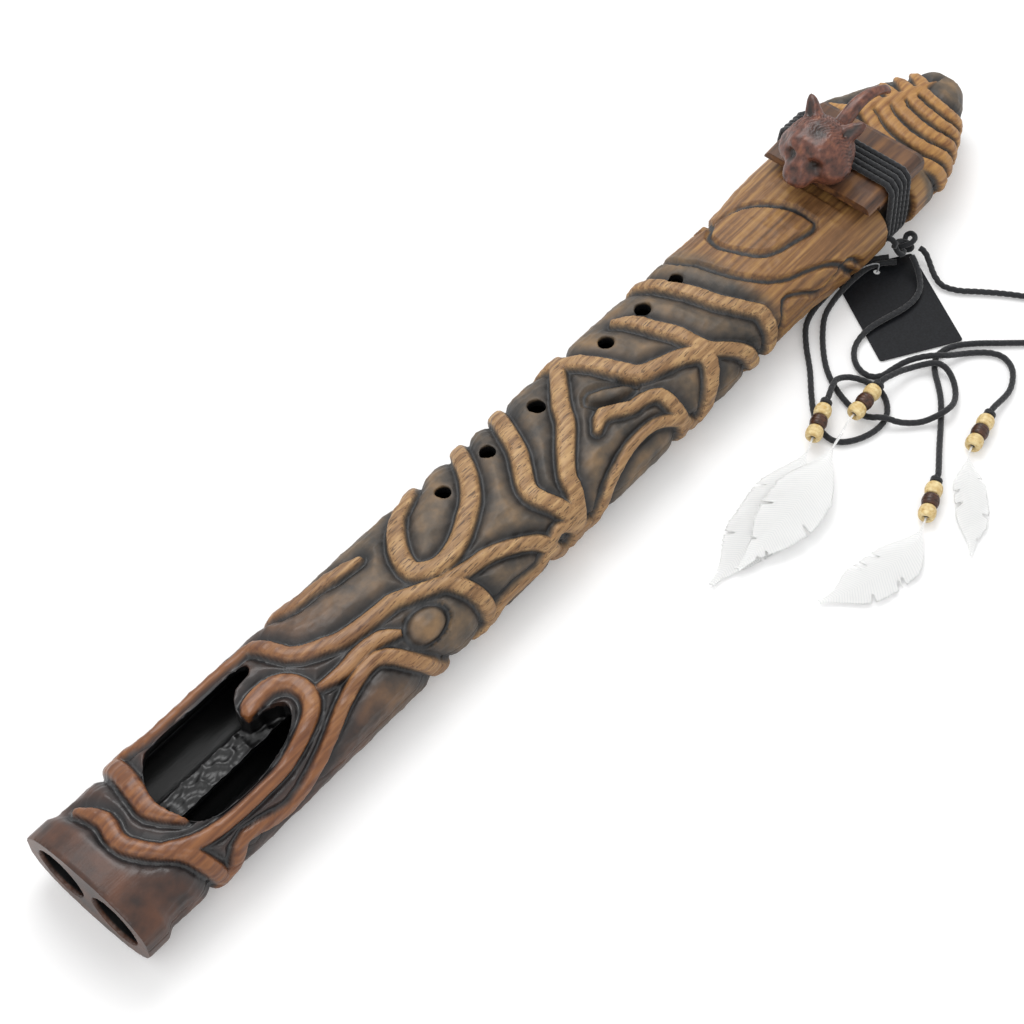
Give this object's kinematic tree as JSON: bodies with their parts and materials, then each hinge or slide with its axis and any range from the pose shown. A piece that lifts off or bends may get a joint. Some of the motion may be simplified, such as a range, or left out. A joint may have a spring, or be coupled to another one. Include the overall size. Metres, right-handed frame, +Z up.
{
  "type": "double flute",
  "caption": "Carved wooden drone flute with two parallel bores, finger holes over one bore, a tied block with a cat head, and a beaded, feathered cord.",
  "frame": {"origin": "under the middle of the body's length, on the flat underside that the flute lies on", "axes": "+X along the body from the foot to the mouth, +Y across towards the melody bore, +Z up through the finger holes"},
  "size_m": [0.63, 0.2164, 0.0824],
  "materials": {
    "carved_wood": "oiled, worn ridges with dark stained grooves",
    "plank_wood": "oiled, striped grain",
    "head_wood": "polished red-brown with dark lows",
    "cord": "matt braid",
    "bead_pale": "satin",
    "bead_dark": "satin",
    "feather": "soft, half see-through",
    "card": "satin, bare",
    "string": "clear"
  },
  "bodies": {
    "flute": {"body_upper_half": "carved_wood", "body_lower_half": "carved_wood", "cord_winding": "cord", "winding_knot": "cord", "cord_tail_1": "cord", "tail_knot_1": "cord", "bead_1_1": "bead_pale", "bead_1_2": "bead_dark", "bead_1_3": "bead_pale", "feather_1": "feather", "cord_tail_2": "cord", "tail_knot_2": "cord", "bead_2_1": "bead_pale", "bead_2_2": "bead_dark", "bead_2_3": "bead_pale", "feather_2": "feather", "cord_tail_3": "cord", "tail_knot_3": "cord", "bead_3_1": "bead_pale", "bead_3_2": "bead_dark", "bead_3_3": "bead_pale", "feather_3": "feather", "cord_tail_4": "cord", "tail_knot_4": "cord", "bead_4_1": "bead_pale", "bead_4_2": "bead_dark", "bead_4_3": "bead_pale", "feather_4": "feather", "hang_card": "card", "card_string": "string"},
    "block": {"block_plank": "plank_wood", "cat_head": "head_wood"}
  },
  "joints": [
    {"name": "block_slide", "type": "slide", "parent": "flute", "child": "block", "axis": [1, 0, 0], "range_m": [-0.003, 0.001]}
  ]
}
